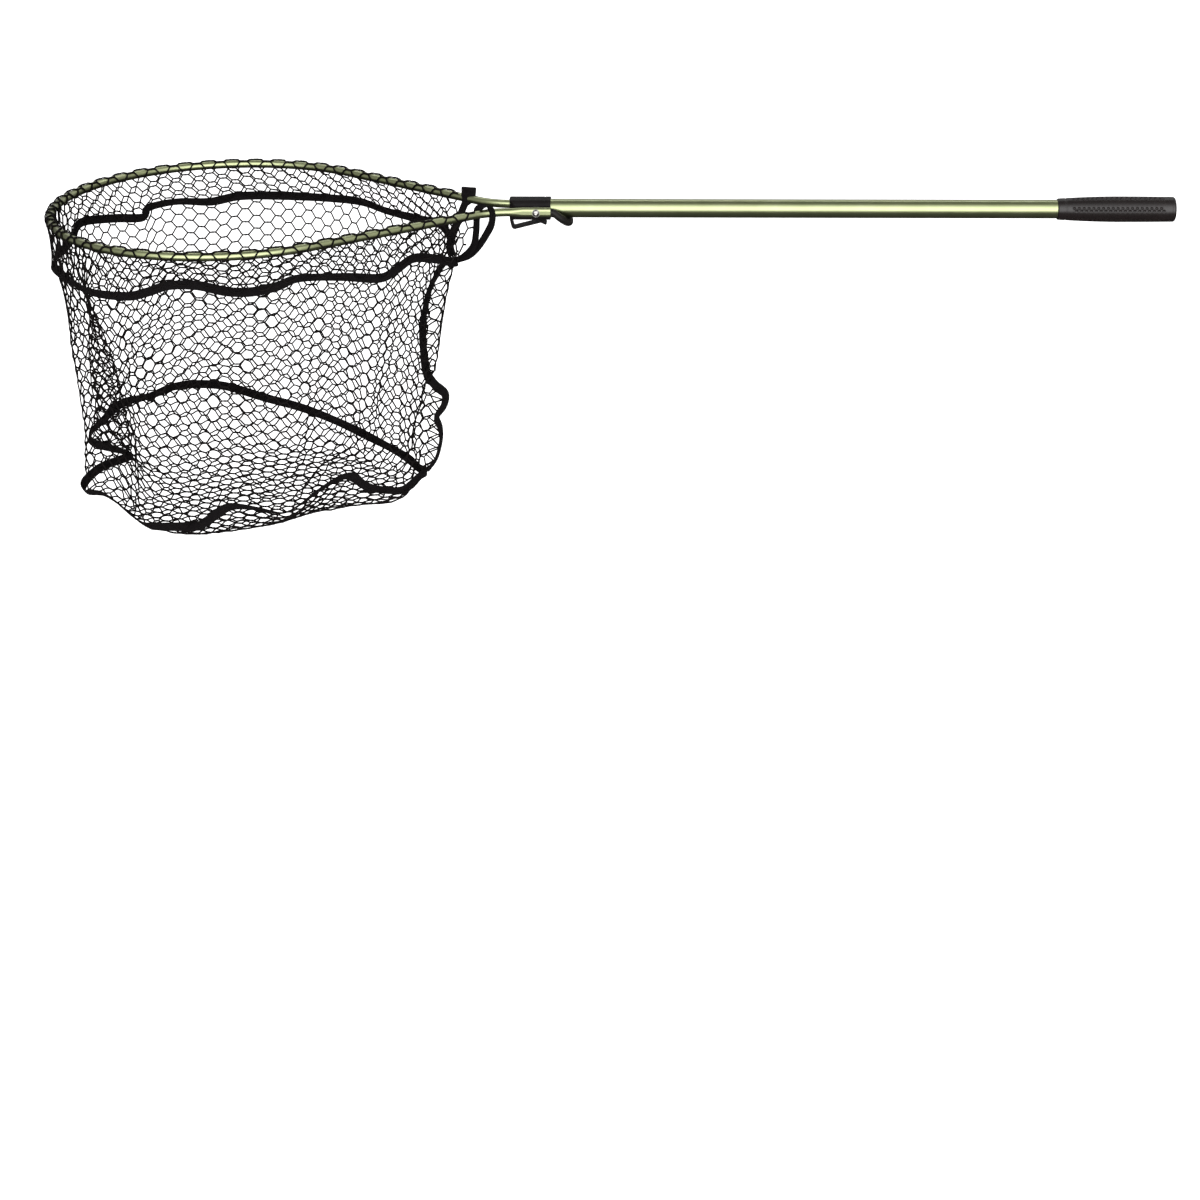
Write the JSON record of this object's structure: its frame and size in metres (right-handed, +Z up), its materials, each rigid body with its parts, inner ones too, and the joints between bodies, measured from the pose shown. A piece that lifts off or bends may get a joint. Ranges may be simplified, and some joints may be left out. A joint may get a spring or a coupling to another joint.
{
  "type": "folding landing net",
  "caption": "Landing net with a teardrop hoop, deep taped bag and a straight gripped handle that folds over the hoop about a pivot bolt; sprung belt clip.",
  "frame": {"origin": "middle of the bow's rod at its apex, where the net hangs from a hook", "axes": "+X along the handle to the grip, hoop towards -X, +Z up out of the bag's mouth"},
  "size_m": [1.2045, 0.381, 0.3212],
  "materials": {
    "anodised_tube": "satin green anodised, drawn lengthwise",
    "bow_coating": "dip-coated, fine leathery texture",
    "head_plastic": "spark-eroded moulded texture",
    "grip_plastic": "moulded, satin, rows of dimples",
    "bolt_steel": "polished",
    "rod_steel": "drawn",
    "washer_plastic": "smooth nylon",
    "netting": "knotless twisted nylon",
    "tape": "woven polyester",
    "plug_foam": "plain"
  },
  "bodies": {
    "hoop": {"hoop_tube": "anodised_tube", "bow_core": "rod_steel", "bow_sleeve": "bow_coating", "pivot_bolt": "bolt_steel", "pivot_nut": "bolt_steel", "outer_washers": "bolt_steel", "friction_washers": "washer_plastic", "net_collar": "netting", "net_wall": "netting", "net_floor": "netting", "rim_tape": "tape", "floor_tape": "tape", "back_seam_tape": "tape", "throat_tape": "tape", "strap_loops": "tape"},
    "handle": {"head": "head_plastic", "head_pin": "rod_steel", "handle_tube": "anodised_tube", "tube_plug": "plug_foam", "grip": "grip_plastic", "grip_cap": "grip_plastic", "pivot_bush": "rod_steel"},
    "clip": {"belt_clip": "head_plastic"}
  },
  "joints": [
    {"name": "fold", "type": "hinge", "parent": "hoop", "child": "handle", "pos_m": [-0.03504, 0, 0.0143], "axis": [0, -1, 0], "range_deg": [0, 178]},
    {"name": "clip_flex", "type": "hinge", "parent": "handle", "child": "clip", "pos_m": [-0.06229, 0, 0.0054], "axis": [0, 1, 0], "range_deg": [0, 6], "stiffness_Nm_per_rad": 2}
  ]
}
